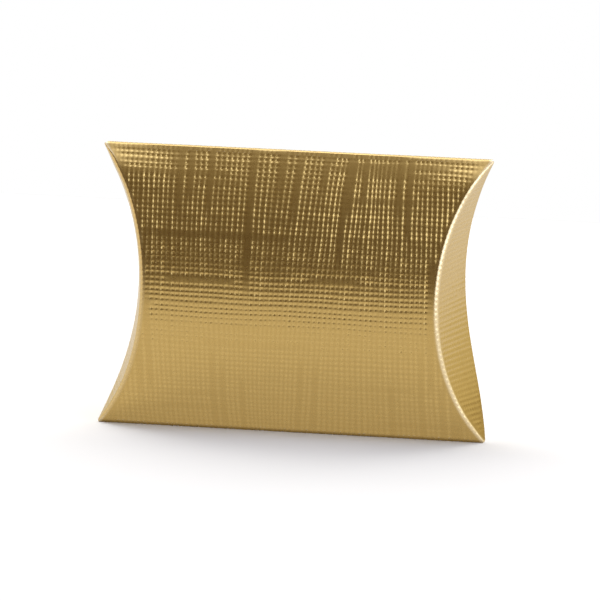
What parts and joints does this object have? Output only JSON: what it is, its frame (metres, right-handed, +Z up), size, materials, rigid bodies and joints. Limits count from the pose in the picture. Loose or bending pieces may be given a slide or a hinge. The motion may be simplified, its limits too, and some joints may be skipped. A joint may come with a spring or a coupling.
{
  "type": "pillow box",
  "caption": "Pillow-shaped gift box of folded gold card with a linen emboss, bowed panels and lens-shaped end flaps on curved creases that swing open.",
  "frame": {"origin": "under the middle of the bottom fold, on the surface the box stands on", "axes": "+X along the box towards its right end, -Y out of the front panel, +Z up from the bottom fold to the top fold"},
  "size_m": [0.1, 0.0238, 0.072],
  "materials": {
    "gold_card": "satin gold foil on card, linen embossed",
    "plain_card": "uncoated white board",
    "glue": "dried adhesive"
  },
  "bodies": {
    "sleeve": {"front_panel": "gold_card", "back_panel": "gold_card", "bottom_fold": "gold_card", "top_fold": "gold_card", "glue_tab": "plain_card", "glue_line": "glue"},
    "right_outer": {"right_outer_flap": "gold_card"},
    "right_inner": {"right_inner_flap": "gold_card"},
    "left_outer": {"left_outer_flap": "gold_card"},
    "left_inner": {"left_inner_flap": "gold_card"}
  },
  "joints": [
    {"name": "right_outer_crease", "type": "hinge", "parent": "sleeve", "child": "right_outer", "pos_m": [0.0379, -0.0104, 0.036], "axis": [0, 0, -1], "range_deg": [0, 78]},
    {"name": "right_inner_crease", "type": "hinge", "parent": "sleeve", "child": "right_inner", "pos_m": [0.0372, 0.0104, 0.036], "axis": [0, 0, 1], "range_deg": [0, 90]},
    {"name": "left_outer_crease", "type": "hinge", "parent": "sleeve", "child": "left_outer", "pos_m": [-0.0379, -0.0104, 0.036], "axis": [0, 0, 1], "range_deg": [0, 78]},
    {"name": "left_inner_crease", "type": "hinge", "parent": "sleeve", "child": "left_inner", "pos_m": [-0.0372, 0.0104, 0.036], "axis": [0, 0, -1], "range_deg": [0, 90]}
  ],
  "couplings": [
    {"joint": "right_inner_crease", "follows": "right_outer_crease", "ratio": 1.15},
    {"joint": "left_inner_crease", "follows": "left_outer_crease", "ratio": 1.15}
  ]
}
